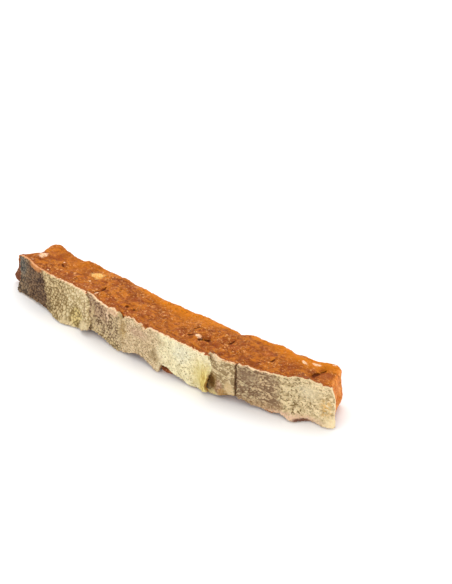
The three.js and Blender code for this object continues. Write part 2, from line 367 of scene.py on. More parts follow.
def meat_mesh():
    """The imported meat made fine, with the grains, lumps, pits and scraps of fat as relief."""
    piece = fine_copy("salmon_meat", "meat", MEAT_LEVELS)
    mesh = piece.data
    points = coordinates(mesh)
    normals = facings(mesh)
    # The grains are seldom round, so their pattern is bent by a small and by a large swell.
    bent = points + 0.9 * swell(points, 1.7, 4.0)[:, None]
    bent += 1.4 * swell(points, 4.5, 6.0)[:, None]
    border = cells(bent, GRAIN_SIZE, 11.0)
    seam = (1 - ramp(border, 0.02, 0.4)) * ramp(swell(points, 3.1, 15.0), -0.25, 0.35)
    faces_up = ramp(normals[:, 2], 0.5, 0.9)
    below = ramp(-normals[:, 2], 0.5, 0.9)
    grain_share = 1 - (1 - GRAIN_FACE_SHARE) * faces_up
    height = -GRAIN_SEAM * seam * grain_share
    height += FINE_HEIGHT * swell(points, FINE_SIZE, 2.0)
    height += 0.5 * FINE_HEIGHT * swell(points, FINE_SIZE / 2.1, 9.0)
    height += LUMP_HEIGHT * (swell(points, LUMP_SIZE, 31.0) - 0.3) * faces_up

    for mark in TOP_HOLES + FAT_LUMPS + TOP_DIPS:
        height += mark[-1] * spot(points, mark) * faces_up

    back_line = back_edge(points)
    to_back = back_line(points[:, 0]) - points[:, 1]
    # Painted glow: near the back edge the meat is painted paler and more orange, as if light shone
    # through the thin meat, most on the top and towards the right end.
    wide = PAINTED_GLOW_WIDTH * (1 + 0.45 * np.sin(points[:, 0] / 8.0 + 1.0))
    painted_glow = (1 - ramp(to_back, 0.3 * wide, wide)) * (0.35 + 0.65 * ramp(points[:, 0], -40, -10))
    painted_glow = painted_glow * (0.25 + 0.75 * ramp(normals[:, 2], 0.1, 0.7))
    brink = (1 - ramp(to_back, 0.1, 0.8)) * faces_up

    remember(mesh, "seam", seam * grain_share)
    remember(mesh, "painted_glow", painted_glow)
    remember(mesh, "brink", brink)
    remember(mesh, "top", faces_up)
    remember(mesh, "below", below)
    remember(mesh, "end", ramp(abs(normals[:, 0]), 0.45, 0.85))
    # Painted shade: the meat's front, which lies in shade behind the skin, and its foot in the notch
    # are painted dark brown.
    forward = ramp(-normals[:, 1], 0.2, 0.7)
    moved = points + normals * height[:, None] * (1 - 0.6 * below)[:, None]
    stations = points[:, 0] - SHIFT_X
    bulge = ramp(stations, BULGE_FROM - 1, BULGE_FROM)
    bulge = bulge * (1 - ramp(stations, BULGE_TO - 2, BULGE_TO))
    bulge = bulge * ramp(-points[:, 1], 6, 8.5) * (1 - ramp(points[:, 2], 2.0, 3.5))
    remember(mesh, "shade_behind_skin", np.maximum(forward * (1 - ramp(points[:, 2], 8, 12)), bulge))
    moved[:, 1] -= BULGE_OUT * bulge
    moved[:, 2] -= BULGE_DOWN * bulge
    place(mesh, moved)
    return piece


def back_edge(points):
    """The line of the meat's back, as Y for each X, found from the mesh itself."""
    high = points[points[:, 2] > 8]
    stations = np.arange(high[:, 0].min(), high[:, 0].max(), 2.0)
    reach = [high[abs(high[:, 0] - x) < 1.5, 1].max() for x in stations]
    return lambda x: np.interp(x, stations, reach)


def meat_material():
    """Amber meat: its ground, with a painted glow along the back, then the ends, painted shade behind
    the skin, cracks, flecks with painted glints, fat, holes in painted shade and the lines of the
    net.
    """
    recipe = Recipe("dried_minced_salmon")
    uneven = recipe.wander(0.9, 0.55)
    ragged = recipe.wander(0.6, 0.2)
    mottle = recipe.cloud(1.3, 4.0, 1.0)
    streaks = recipe.cloud(2.2, 4.0, 1.3, recipe.places((0.45, 1.0, 1.0)))
    fine = recipe.cloud(0.5, 2.0, 0.6)
    seam = recipe.kept("seam")
    top = recipe.kept("top")
    painted_glow = recipe.kept("painted_glow")

    shade = recipe.cloud(5.0, 3.0, 0.8) * 0.45 + streaks * 0.6 + mottle * 0.35
    body = recipe.mix(recipe.rise(shade, 0.58, 0.82), colour(*MEAT_DARK), colour(*MEAT_LIGHT))
    red = recipe.rise(recipe.cloud(3.6, 3.0, 0.9), 0.5, 0.62) * (1 - painted_glow)
    body = recipe.mix(red * 0.55, body, colour(*MEAT_RED))
    smear = recipe.rise(recipe.cloud(1.5, 3.0, 1.5), 0.55, 0.67) * (1 - painted_glow)
    body = recipe.mix(smear * 0.5, body, colour(*MEAT_SMEAR))
    # The painted glow along the back edge.
    body = recipe.mix(painted_glow * (0.5 + 0.7 * mottle), body, colour(*MEAT_PAINTED_GLOW))
    body = recipe.mix(recipe.kept("brink") * 0.5, body, colour(*MEAT_BRINK))
    # The ends: their own amber, painted brighter as a painted glow of light through the cut meat.
    end = recipe.kept("end")
    sawn_glow = recipe.mix(recipe.rise(streaks, 0.4, 0.62), colour(*SAWN_GLOW_DARK), colour(*SAWN_GLOW_LIGHT))
    body = recipe.mix(end * (0.5 + 0.6 * mottle), body, sawn_glow)
    # Painted shade on the meat behind the skin and in the notch.
    body = recipe.mix(recipe.kept("shade_behind_skin") * 0.9, body, colour(*MEAT_SHADED_BEHIND_SKIN))
    dark = recipe.rise(recipe.cloud(1.1, 3.0, 1.8), 0.4, 0.3)
    body = recipe.mix(dark * 0.6, body, colour(*CRACK))
    body = recipe.mix(seam * (0.1 + 0.3 * mottle), body, colour(*SEAM))
    body = recipe.mix(recipe.rise(fine, 0.44, 0.33) * 0.25, body, colour(*PIT))
    # Pale flecks of fat, which also serve as painted glints.
    grouped = recipe.rise(recipe.cloud(4.0, 1.0), 0.42, 0.58)
    flecks_and_glints = recipe.rise(recipe.cloud(0.75, 2.0, 0.8), 0.57, 0.66) * grouped * (1 - painted_glow * 0.6)
    body = recipe.mix(flecks_and_glints * 0.8, body, colour(*FLECK_AND_GLINT))

    broken = recipe.wander(1.8, 1.7)
    patch = recipe.rise(recipe.oval(broken, *on_top(YELLOW_PATCH)), 1.3, 0.5) * top
    waxy = recipe.mix(recipe.rise(fine, 0.42, 0.6), colour(*WAXY_DARK), colour(*WAXY_LIGHT))
    body = recipe.mix(patch * (0.45 + mottle), body, waxy)
    fat = marked(recipe, FAT_LUMPS, uneven, 1.2) * recipe.rise(top, 0.1, 0.6)
    pale = recipe.mix(recipe.rise(fine, 0.34, 0.6), colour(*SCRAP_DARK), colour(*SCRAP_LIGHT))
    body = recipe.mix(fat * (0.75 + 0.4 * mottle), body, pale)
    # The holes are painted nearly black, a painted shade laid over the shade of their relief.
    hole = marked(recipe, TOP_HOLES, ragged, 1.3) * top
    body = recipe.mix(hole * 0.8, body, colour(*HOLE_SHADE))

    # The net left pale, crumbly lines along the diamonds of its print.
    x = recipe.axis("X")
    y = recipe.axis("Y")
    wander = recipe.cloud(3.0, 2.0) * 1.6
    one = net_line(recipe, x * (1 / NET_ALONG) + (y + wander) * (1 / NET_ACROSS))
    other = net_line(recipe, x * (1 / NET_ALONG) - (y + wander) * (1 / NET_ACROSS))
    crumbs = recipe.rise(recipe.cloud(0.8, 3.0, 1.0), 0.44, 0.6)
    line = recipe.maths("MAXIMUM", one, other) * crumbs * recipe.kept("below")
    body = recipe.mix(recipe.kept("below") * 0.4, body, colour(*MEAT_BELOW))
    body = recipe.mix(line * 0.8, body, colour(*NET_CRUMB))

    height = mottle * 0.7 + streaks * 0.4 + fine * 0.3 + flecks_and_glints * 0.3 - dark * 0.5 - hole * 1.6
    return recipe.finish(
        body,
        0.36 + 0.3 * mottle + 0.2 * seam,
        height,
        0.35,
        Specular_IOR_Level=0.08,
        Subsurface_Weight=0.12,
        Subsurface_Radius=(1.6 * MM, 0.7 * MM, 0.2 * MM),
        Subsurface_Scale=1.0,
    )


def on_top(mark):
    """Where an oval mark stands on the top, its half sizes and its turn."""
    station, y, half_length, half_width, turn, _ = mark
    centre = (station + SHIFT_X, y + SHIFT_Y, 0)
    return centre, (half_length, half_width, FAR), (0, 0, np.radians(turn))


def marked(recipe, marks, where, border):
    """1 inside any of the oval marks on the top, 0 outside their soft border."""
    share = 0.0
    for mark in marks:
        inside = recipe.rise(recipe.oval(where, *on_top(mark)), border, 0.7)
        share = recipe.maths("MAXIMUM", share, inside)
    return share


def net_line(recipe, phase):
    """1 on the lines where the phase is a whole number, 0 between them."""
    from_line = recipe.maths("PINGPONG", phase, 0.5)
    return recipe.rise(from_line, 0.11, 0.03)


meat = meat_mesh()
meat.data.materials.append(meat_material())
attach(meat, "root")
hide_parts("salmon_meat")
meat_tree = BVHTree.FromObject(meat, bpy.context.evaluated_depsgraph_get())


# ---------------------------------------------------------------------------------------------
# The skin, what its four strips share: dried salmon skin about 0.7 mm thick, stuck to the meat by
# its peach-coloured fat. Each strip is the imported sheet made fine, with the small pockets that
# held the scales, and torn edges. The colour changes along the fish from dark back to pale belly.

SKIN_LEVELS = 3
SKIN_CREASE = 0.9           # radians between faces from which an edge of the sheet stays an edge
POCKET_SIZE = 1.3           # the scale pockets along the fish, and the step between rows of them
ROW_STEP = 0.87
POCKET_HEIGHT = 0.24
POCKET_NUDGE = 0.4          # how far a pocket may be off its place, in pockets
PATTERN = 64                # pockets and rows after which the pattern comes again
WRINKLE_SIZE = 3.4
WRINKLE_HEIGHT = 0.2
TEAR_SIZE = 0.8             # the raggedness of the torn edges
TEAR_HEIGHT = 0.28
STRIP_MIDDLE = 7.0          # the height of the middle of a strip
TO_THE_MEAT = 0.24          # the fat behind the sheet, which near the top fills the gap to the meat
RIM_FILL = 1.1              # how much of that gap the rim closes, so that it sinks in a little
WIDEST_GAP = 3.0
BELOW_RIM = 2.2             # how much lower than the rim the gap is measured

FAT_DARK = (204, 144, 92)
FAT_LIGHT = (238, 208, 168)
FAT_AMBER = (212, 136, 74)
CREAM_DARK = (196, 168, 120)
CREAM_LIGHT = (240, 220, 178)
RIM_BELOW = (150, 104, 66)
PEPPER = (92, 72, 40)
PEPPER_SHARE = 0.35         # how much of that colour the dark specks have
SKIN_INNER_SIDE = (176, 96, 36)


def pocket_rows(points):
    """Rows of pockets, each row half a step on: the way to the next border, and a tone each."""
    chance = np.random.default_rng(8)
    nudge = chance.uniform(-POCKET_NUDGE, POCKET_NUDGE, (PATTERN, PATTERN, 2))
    tones = chance.uniform(0, 1, (PATTERN, PATTERN))
    along = points[:, 0] / POCKET_SIZE
    up = points[:, 2] / (POCKET_SIZE * ROW_STEP)
    nearest = np.full(len(points), 9.0)
    second = nearest.copy()
    tone = np.zeros(len(points))
    for row_step in (-1, 0, 1, 2):
        row = np.floor(up).astype(int) + row_step
        shifted = along - 0.5 * (row % 2)
        for column_step in (-1, 0, 1, 2):
            column = np.floor(shifted).astype(int) + column_step
            push = nudge[row % PATTERN, column % PATTERN]
            across = shifted - column - push[:, 0]
            high = (up - row - push[:, 1]) * ROW_STEP
            away = np.hypot(across, high)
            closer = away < nearest
            second = np.where(closer, nearest, np.minimum(second, away))
            tone = np.where(closer, tones[row % PATTERN, column % PATTERN], tone)
            nearest = np.where(closer, away, nearest)
    return second - nearest, tone


def way_to_meat(point):
    """How far it is from the sheet to the meat a little lower down, or 0 if there is none near."""
    start = Vector((point[0], point[1], point[2] - BELOW_RIM))
    hit = meat_tree.ray_cast(start * MM, Vector((0, 1, 0)), WIDEST_GAP * MM)
    return 0.0 if hit[3] is None else hit[3] / MM


def skin_mesh(node, name, pocket_share, folds, shift, loose_from):
    """A strip of skin with its pockets, wrinkles and torn edges.

    The pocket share gives how deep the pockets are at each station. The folds raise or sink the
    outer side, and the shift moves the whole sheet. The upper rim is stuck to the meat up to the
    station where it comes loose.
    """
    piece = fine_copy(node, name, SKIN_LEVELS, SKIN_CREASE)
    mesh = piece.data
    points = coordinates(mesh)
    normals = facings(mesh)
    stations = points[:, 0] - SHIFT_X
    up = points[:, 2]
    depth = np.empty(len(mesh.vertices), dtype=np.float32)
    mesh.attributes["depth"].data.foreach_get("value", depth)
    outside = 1 - ramp(depth, 0.0, 0.5)

    flat = points * np.array([1.0, 0.25, 1.1])
    bent = points + 0.3 * swell(flat, 1.6, 21.0)[:, None]
    bent += 0.8 * swell(flat, 7.0, 23.0)[:, None]
    border, tone = pocket_rows(bent)
    pocket = ramp(border, 0.0, 0.5)
    height = POCKET_HEIGHT * (pocket - 0.5) * pocket_share(stations)
    height += WRINKLE_HEIGHT * swell(flat, WRINKLE_SIZE, 5.0)
    height += 0.05 * swell(points, 0.5, 8.0)
    height += folds(stations, up)
    height = height * outside + TO_THE_MEAT * ramp(depth, 0.5, 1.0)

    moved = points + normals * height[:, None]
    moved += shift(stations, up)
    moved[:, 0] += TEAR_HEIGHT * swell(points, TEAR_SIZE, 13.0)
    moved[:, 2] += TEAR_HEIGHT * swell(points, TEAR_SIZE, 17.0)
    moved[:, 2] += 0.6 * TEAR_HEIGHT * swell(points, TEAR_SIZE / 2, 19.0)
    stuck = depth * ramp(up, 9, 12) * (1 - ramp(stations, loose_from - 1, loose_from))
    for i in np.flatnonzero(stuck > 0.02):
        moved[i, 1] += RIM_FILL * way_to_meat(moved[i]) * stuck[i]
    remember(mesh, "pocket", pocket)
    remember(mesh, "tone", tone)
    remember(mesh, "end", ramp(abs(normals[:, 0]), 0.45, 0.7))
    remember(mesh, "low", ramp(-normals[:, 2], 0.4, 0.7))
    place(mesh, moved)
    return piece


class SkinRecipe(Recipe):
    """The material of one strip, painted zone by zone along the stick."""

    def __init__(self, name):
        super().__init__(name)
        self.x = self.axis("X") - SHIFT_X
        self.z = self.axis("Z")
        self.drift = (self.cloud(3.6, 3.0) - 0.5) * 7.0
        self.grit = self.cloud(0.7, 3.0, 0.8)
        self.blotch = self.cloud(2.0, 3.0, 1.0)
        self.uneven = self.wander(1.6, 0.9)
        self.ground = None

    def between(self, start, end, soft=2.2, lean=0.0):
        """1 between two stations, with a wandering border that leans with the height."""
        along = self.x + self.drift + (self.z - STRIP_MIDDLE) * lean
        before_end = self.rise(along, end + soft, end - soft)
        return self.rise(along, start - soft, start + soft) * before_end

    def level(self, start, end, soft=1.6):
        """1 between two heights, with a wandering border."""
        up = self.z + self.drift * 0.4
        return self.rise(up, start - soft, start + soft) * self.rise(up, end + soft, end - soft)

    def patch(self, station, up, half_length, half_height, turn=0.0, soft=0.35):
        """1 inside an oval patch on the strip."""
        centre = (station + SHIFT_X, 0, up)
        half = (half_length, FAR, half_height)
        away = self.oval(self.uneven, centre, half, (0, np.radians(turn), 0))
        return self.rise(away, 1 + soft, 1 - soft)

    def cover(self, finish):
        """The finish of the whole strip, which every zone is painted over."""
        self.ground = finish

    def paint(self, share, finish):
        """A finish over what is there, where the share is above 0."""
        self.ground = self.mix(share, self.ground, finish)

    def grainy(self, dark, light):
        """Fine grit between two colours."""
        return self.mix(self.grit, colour(*dark), colour(*light))

    def pockets(self, dark, light, low=0.35, high=1.1):
        """Pale scale pockets in a darker net."""
        value = self.kept("pocket") * 0.5 + self.kept("tone") * 0.4 + self.grit * 0.5
        value = value + (self.blotch - 0.5) * 1.2
        return self.mix(self.rise(value, low, high), colour(*dark), colour(*light))

    def specks(self, dark, light, size, low, high):
        """A pale ground, softly mottled, with fine dark specks."""
        soft = self.rise(self.cloud(1.5, 4.0, 0.8), 0.3, 0.66) * 0.7 + 0.3
        mottled = self.mix(soft, colour(*dark), colour(*light))
        value = self.cloud(size, 2.0, 0.6)
        pairs = zip(colour(*dark), colour(*PEPPER))
        pepper = [ground + PEPPER_SHARE * (dust - ground) for ground, dust in pairs]
        return self.mix(self.rise(value, low, high), mottled, pepper)

    def worms(self, dark, light, turn=-0.5):
        """Short pale streaks and blotches on a dark ground."""
        where = self.places((0.45, 1.0, 1.1), turn)
        value = self.cloud(1.7, 2.0, 1.6, where) + self.kept("pocket") * 0.08
        value = value + (self.grit - 0.5) * 0.2
        return self.mix(self.rise(value, 0.5, 0.66), colour(*dark), colour(*light))

    def done(self, end_rim, low_rim, cream_from=FAR):
        """Adds the inner side and the fatty rim, which is amber at the left end of the stick and
        cream from one station on, and makes the finish.
        """
        depth = self.kept("depth")
        patchy = self.cloud(1.0, 3.0, 0.6)
        fat = self.mix(self.rise(patchy, 0.34, 0.56), colour(*FAT_DARK), colour(*FAT_LIGHT))
        cream = self.grainy(CREAM_DARK, CREAM_LIGHT)
        fat = self.mix(self.rise(self.x, cream_from - 2, cream_from + 2), fat, cream)
        fat = self.mix(self.rise(self.x, -42, -54) * 0.75, fat, colour(*FAT_AMBER))
        rim = self.rise(depth + (patchy - 0.5) * 0.5, 0.06, 0.34)
        self.paint(rim, fat)
        inner = self.rise(depth + (self.grit - 0.5) * 0.3, 0.5, 0.7)
        self.paint(inner, self.grainy(MEAT_DARK, SKIN_INNER_SIDE))
        underneath = self.mix(patchy, colour(*RIM_BELOW), colour(*low_rim))
        self.paint(rim * self.kept("low"), underneath)
        # The cut ends of the rim take the colour given, which holds painted shade where a strip meets
        # the lap, the curl or the slit.
        self.paint(rim * self.kept("end"), end_rim)
        height = self.kept("pocket") * 0.4 + self.grit * 0.8 + self.cloud(0.3, 2.0) * 0.35
        return self.finish(
            self.ground,
            0.5 + 0.25 * self.grit,
            height,
            0.16,
            Specular_IOR_Level=0.2,
            Subsurface_Weight=0.12,
            Subsurface_Radius=(1.2 * MM, 0.8 * MM, 0.4 * MM),
            Subsurface_Scale=1.0,
        )


def fold(x, z, station, width, height, low=0.0, high=20.0):
    """A ridge or a groove that runs up a strip."""
    reach = ramp(z, low - 1, low + 1) * (1 - ramp(z, high - 1, high + 1))
    return height * np.exp(-(((x - station) / width) ** 2)) * reach


# ---------------------------------------------------------------------------------------------
# The first strip, from the left end to the lap: dark, bluish skin of the back at the end, then
# olive and cream pockets, and a bare cream flap that sticks out at the lower right corner.

LAP_FROM = -31.0            # the last stations of the strip, where it laps over the next
LAP_TO = -27.6
FLAP_HEIGHT = 3.6
FLAP_PULL = 1.3             # how far the corner of the flap is pulled back to make it round


def first_folds(x, z):
    """The puckers beside the lap."""
    groove = fold(x, z, -29.7, 0.45, -0.3, 7, 13)
    return groove + fold(x, z, -31.4, 0.8, 0.25, 5, 14) + fold(x, z, -28.6, 0.5, 0.2, 4, 14)


def first_shift(x, z):
    """The lap lies down on the next strip, all but its flap, whose corner is round."""
    near_lap = ramp(x, LAP_FROM, LAP_TO)
    corner = near_lap * (1 - ramp(z, 0.6, FLAP_HEIGHT))
    along = -FLAP_PULL * corner - 0.4 * near_lap * np.sin(z * 0.9)
    down = 0.8 * ramp(x, -29.2, -27.8) * ramp(z, 3.5, 6.0)
    return np.column_stack((along, down, 0.6 * corner))


def first_pockets(x):
    """The pockets are alike all along the strip."""
    return 0.9


first = skin_mesh("skin_first", "skin_first_strip", first_pockets, first_folds, first_shift, -29.5)

# Painted in layers: pockets all over, paler towards the lap, the dark skin of the back over the
# left end with amber fat on its rim, then the cream flap and painted shade in the creases beside the
# lap.
recipe = SkinRecipe("skin_dark_to_olive")
recipe.cover(recipe.pockets((120, 94, 50), (210, 186, 140)))
recipe.paint(recipe.between(-41, -20, 2.5, -0.3), recipe.pockets((148, 124, 78), (224, 204, 160)))
recipe.paint(
    recipe.between(-40, -28) * recipe.level(8.5, 20) * 0.7,
    recipe.pockets((176, 152, 104), (230, 210, 168)),
)
recipe.paint(
    recipe.between(-60, -46, 2.5) * recipe.level(-3, 4) * 0.7,
    recipe.pockets((104, 84, 46), (196, 170, 122)),
)
recipe.paint(
    recipe.patch(-34.5, 4.0, 3.4, 3.2) * 0.8,
    recipe.pockets((112, 88, 36), (220, 196, 128)),
)
recipe.paint(
    recipe.between(-80, -49.8, 1.4, 0.25),
    recipe.pockets((58, 36, 22), (128, 100, 72), 0.4, 1.05),
)
recipe.paint(
    recipe.between(-80, -60.5, 2.0) * 0.85,
    recipe.pockets((70, 58, 46), (142, 118, 90), 0.4, 1.05),
)
recipe.paint(
    recipe.patch(-64.3, 11, 2.0, 4.0) * 0.7,
    recipe.pockets((62, 64, 62), (118, 112, 100), 0.4, 1.05),
)
recipe.paint(
    recipe.patch(-55.5, 14.6, 3.2, 1.3, 0, 0.5) * 0.9,
    recipe.grainy((168, 96, 40), (222, 152, 88)),
)
recipe.paint(
    recipe.patch(-29.8, 2.0, 3.0, 2.5, 0, 0.3),
    recipe.grainy((198, 176, 130), (232, 214, 174)),
)
recipe.paint(recipe.patch(-38.5, 0.9, 2.8, 0.7) * 0.6, colour(226, 204, 160))
# Painted shade in the creases beside the lap.
recipe.paint(recipe.patch(-29.9, 10.2, 0.4, 3.4, 4) * 0.6, colour(124, 92, 56))
recipe.paint(recipe.patch(-31.6, 11.0, 0.3, 2.6, 6) * 0.5, colour(140, 108, 68))
# The ends of the strip: the upper part of the lap edge painted brown as painted shade of its crease,
# cream below.
end_rim = recipe.mix(recipe.level(-3, 5), colour(142, 112, 74), colour(214, 192, 148))
first.data.materials.append(recipe.done(end_rim, (220, 196, 150)))
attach(first, "root")
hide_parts("skin_first")


# ---------------------------------------------------------------------------------------------
# The second strip, from under the lap to the curl: coarse grey-brown pockets, a step, fine-grained
# tan, and a long pale stretch that ends waxy yellow where it curls off the next strip.

STEP_FROM = -13.0           # the stations between which the pockets get shallow
STEP_TO = -9.0
CURL_FROM = 22.4            # the last stations of the strip, where it curls off the next
CURL_TO = 25.4
CURL_PULL = 0.7             # how far the curl is drawn back at its waist, and its corner raised
NOTCH_FROM = 4.4            # the notch in the lower rim: steep on its left, gentle on its right
NOTCH_TO = 10.5
NOTCH_RISE = 2.3
# Torn flakes that stand up from the upper rim: station, half width, height.
RIM_FLAKES = ((-16.2, 1.3, 0.3), (-7.2, 0.7, 0.6), (-3.6, 0.6, 0.9), (0.6, 0.8, 0.5))


def second_folds(x, z):
    """The creases right of the lap and on the bump."""
    creases = fold(x, z, -25.2, 0.35, -0.25, 8, 14) + fold(x, z, -26.2, 0.5, 0.2, 4, 14)
    roll = fold(x, z, 20.2, 1.0, -0.25, 1, 9) + fold(x, z, 23.1, 1.4, 0.6, 1, 10)
    return creases + fold(x, z, -18.3, 0.35, 0.3, 9, 15) + roll


def second_shift(x, z):
    """Above the curl the strip grows into the next. It has a notch below and flakes above."""
    curl = ramp(x, CURL_FROM, CURL_TO)
    along = -CURL_PULL * curl * ramp(z, 2.2, 4.4) * (1 - ramp(z, 7.5, 10.0))
    along += 0.5 * curl * (1 - ramp(z, 0.8, 2.4))
    down = ramp(x, 23.6, 25.6) * ramp(z, 8.0, 11.0) * (1 - ramp(z, 13.5, 15.0))
    up = CURL_PULL * curl * (1 - ramp(z, 0.6, 4.0))
    notch = ramp(x, NOTCH_FROM, NOTCH_FROM + 1.0) * (1 - ramp(x, 5.8, NOTCH_TO))
    up += NOTCH_RISE * notch * (1 - ramp(z, 0.6, 4.6))
    for station, half, rise in RIM_FLAKES:
        up += rise * np.exp(-(((x - station) / half) ** 2)) * ramp(z, 10, 13)
    return np.column_stack((along, down, up))


def second_pockets(x):
    """Deep up to the step, and shallow from there on."""
    return 1 - 0.75 * ramp(x, STEP_FROM, STEP_TO)


second = skin_mesh(
    "skin_second", "skin_second_strip", second_pockets, second_folds, second_shift, 23.4
)

# Painted in layers: cream with fine specks, tan from the step to the notch, pockets up to the
# step, peach flakes and painted highlights on two ridges, then the waxy yellow roll of the curl
# with painted shading and a painted shade along its edge.
recipe = SkinRecipe("skin_grey_to_cream")
recipe.cover(recipe.specks((188, 172, 126), (242, 230, 190), 0.6, 0.44, 0.36))
recipe.paint(
    recipe.patch(14, 11, 4.2, 3.4, 0, 0.6) * 0.6,
    recipe.specks((190, 182, 150), (230, 226, 200), 0.6, 0.44, 0.36),
)
recipe.paint(
    recipe.patch(18.5, 6.5, 3.0, 4.4, 0, 0.7) * 0.6,
    recipe.specks((194, 178, 132), (242, 230, 184), 0.6, 0.44, 0.36),
)
recipe.paint(
    recipe.between(-14, 4.5, 3.0),
    recipe.specks((156, 128, 88), (226, 202, 162), 0.48, 0.52, 0.38),
)
recipe.paint(
    recipe.patch(2.2, 6.0, 1.6, 2.6, 0, 0.8) * 0.55,
    recipe.specks((132, 112, 66), (204, 178, 130), 0.9, 0.62, 0.42),
)
recipe.paint(
    recipe.patch(-4.5, 11.5, 4.0, 1.8, 0, 0.6) * 0.5,
    recipe.specks((184, 142, 116), (226, 192, 164), 0.7, 0.6, 0.4),
)
recipe.paint(
    recipe.between(-40, -12.8, 1.4),
    recipe.pockets((106, 80, 52), (200, 176, 136), 0.36, 1.0),
)
recipe.paint(
    recipe.between(-29, -19, 2.0) * recipe.level(8.5, 20) * 0.7,
    recipe.pockets((100, 68, 50), (176, 142, 112), 0.38, 1.0),
)
recipe.paint(
    recipe.between(-27, -13, 1.5) * recipe.level(-3, 3.5) * 0.6,
    recipe.pockets((118, 96, 54), (222, 198, 150)),
)
# A painted highlight: a pale streak on the ridge right of the lap.
recipe.paint(
    recipe.patch(-26.2, 9.0, 0.9, 4.0, 4, 0.8) * recipe.rise(recipe.grit, 0.3, 0.6),
    recipe.grainy((186, 160, 116), (218, 194, 150)),
)
recipe.paint(
    recipe.patch(-15.8, 14.4, 2.2, 1.1, 0, 0.5) * 0.8,
    recipe.grainy((206, 160, 122), (238, 206, 170)),
)
# A painted highlight on the ridge.
recipe.paint(recipe.patch(-18.3, 12.0, 0.4, 2.4) * 0.8, colour(232, 200, 166))
recipe.paint(
    recipe.patch(-11.4, 9.6, 1.6, 3.6, 0, 0.8) * 0.5,
    recipe.specks((160, 124, 62), (210, 178, 112), 0.9, 0.6, 0.4),
)
# The roll of the curl: waxy yellow streaks, with painted shading that darkens towards its edge.
roll = recipe.cloud(1.0, 2.0, 0.6, recipe.places((1.6, 1.0, 0.35)))
recipe.paint(
    recipe.patch(22.8, 5.4, 3.6, 5.2, 0, 0.8),
    recipe.mix(roll, colour(202, 180, 108), colour(232, 218, 156)),
)
recipe.paint(
    recipe.patch(23.7, 5.0, 2.0, 4.4, 0, 0.7),
    recipe.mix(recipe.rise(roll, 0.34, 0.62), colour(176, 142, 62), colour(230, 210, 128)),
)
# Painted shade along the edge of the curl.
recipe.paint(recipe.patch(25.2, 5.6, 0.5, 3.2, 0, 0.6) * 0.7, colour(146, 108, 36))
# The ends of the strip: the lower part, the lip of the curl, painted dark as painted shade.
end_rim = recipe.mix(recipe.level(-3, 8), colour(186, 166, 120), colour(150, 110, 44))
second.data.materials.append(recipe.done(end_rim, (232, 204, 162)))
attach(second, "root")
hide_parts("skin_second")


# ---------------------------------------------------------------------------------------------
# The third strip, the short one between the curl and the slit: olive grey, marbled, with a pinkish
# lump beside the hollow of the curl.

SLIT = 34.3                 # the station of the slit, whose groove runs on in both strips


def third_folds(x, z):
    """The hollow behind the curl, and the groove of the slit."""
    hollow = -0.6 * np.exp(-(((x - 26.0) / 1.1) ** 2) - ((z - 5.4) / 2.6) ** 2)
    return hollow + fold(x, z, SLIT, 0.35, -0.2)


def third_shift(x, z):
    """The lower corner reaches down behind the curl."""
    along = -0.4 * (1 - ramp(x, 25.5, 28.0)) * (1 - ramp(z, 2.0, 6.0))
    up = -0.7 * (1 - ramp(x, 26.5, 30.0)) * (1 - ramp(z, 1.6, 4.0))
    return np.column_stack((along, np.zeros(len(x)), up))


def third_pockets(x):
    """Shallow all along the strip."""
    return 0.6


third = skin_mesh("skin_third", "skin_third_strip", third_pockets, third_folds, third_shift, FAR)

# Painted in layers: marbled all over, the pinkish lump, a pale streak beside the slit, painted
# shade in the hollow of the curl, the pale lower corner, peach on the upper rim, and painted shade at
# the brink of the slit.
recipe = SkinRecipe("skin_olive_marbled")
recipe.cover(recipe.worms((148, 124, 86), (212, 190, 148), 0.9))
recipe.paint(recipe.patch(28.2, 4.4, 1.9, 2.6), recipe.pockets((146, 110, 80), (206, 172, 140)))
recipe.paint(
    recipe.patch(30.2, 2.4, 1.9, 1.9) * recipe.rise(recipe.grit, 0.3, 0.55),
    recipe.grainy((128, 92, 34), (196, 152, 92)),
)
recipe.paint(
    recipe.patch(32.4, 4.2, 1.2, 3.2, -20),
    recipe.mix(recipe.blotch, colour(176, 146, 96), colour(236, 210, 166)),
)
# Painted shade in the hollow behind the curl: brown, and darker in its middle.
recipe.paint(
    recipe.patch(25.7, 5.8, 1.8, 3.2, 0, 0.7),
    recipe.grainy((120, 88, 38), (178, 142, 84)),
)
recipe.paint(recipe.patch(25.3, 5.8, 1.0, 2.6, 0, 0.6), recipe.grainy((72, 44, 8), (122, 84, 28)))
recipe.paint(
    recipe.patch(26.0, 0.8, 2.6, 1.5, 0, 0.4),
    recipe.grainy((186, 162, 104), (228, 210, 152)),
)
recipe.paint(
    recipe.patch(27.2, 14.9, 1.7, 0.7, 15, 0.6) * 0.8,
    recipe.grainy((204, 178, 140), (240, 218, 182)),
)
# Painted shade at the brink of the slit.
recipe.paint(recipe.rise(recipe.x + (recipe.grit - 0.5) * 0.5, 33.85, 34.2), colour(136, 106, 74))
# The ends of the strip are painted brown, as painted shade at the curl and at the slit.
third.data.materials.append(recipe.done(colour(134, 102, 70), (206, 170, 116)))
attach(third, "root")
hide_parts("skin_third")


# ---------------------------------------------------------------------------------------------
# The fourth strip, from the slit to the right end: dark brown with pale streaks at first, tan
# along its lower edge, then cream with olive specks up to the corner that stands away.


def fourth_folds(x, z):
    """The groove of the slit."""
    return fold(x, z, SLIT + 0.3, 0.35, -0.2)


def fourth_shift(x, z):
    """The whole sheet stays where it is."""
    return np.zeros((len(x), 3))


def fourth_pockets(x):
    """Shallower towards the cream end."""
    return 0.7 - 0.3 * ramp(x, 48, 54)


fourth = skin_mesh(
    "skin_fourth", "skin_fourth_strip", fourth_pockets, fourth_folds, fourth_shift, 62
)

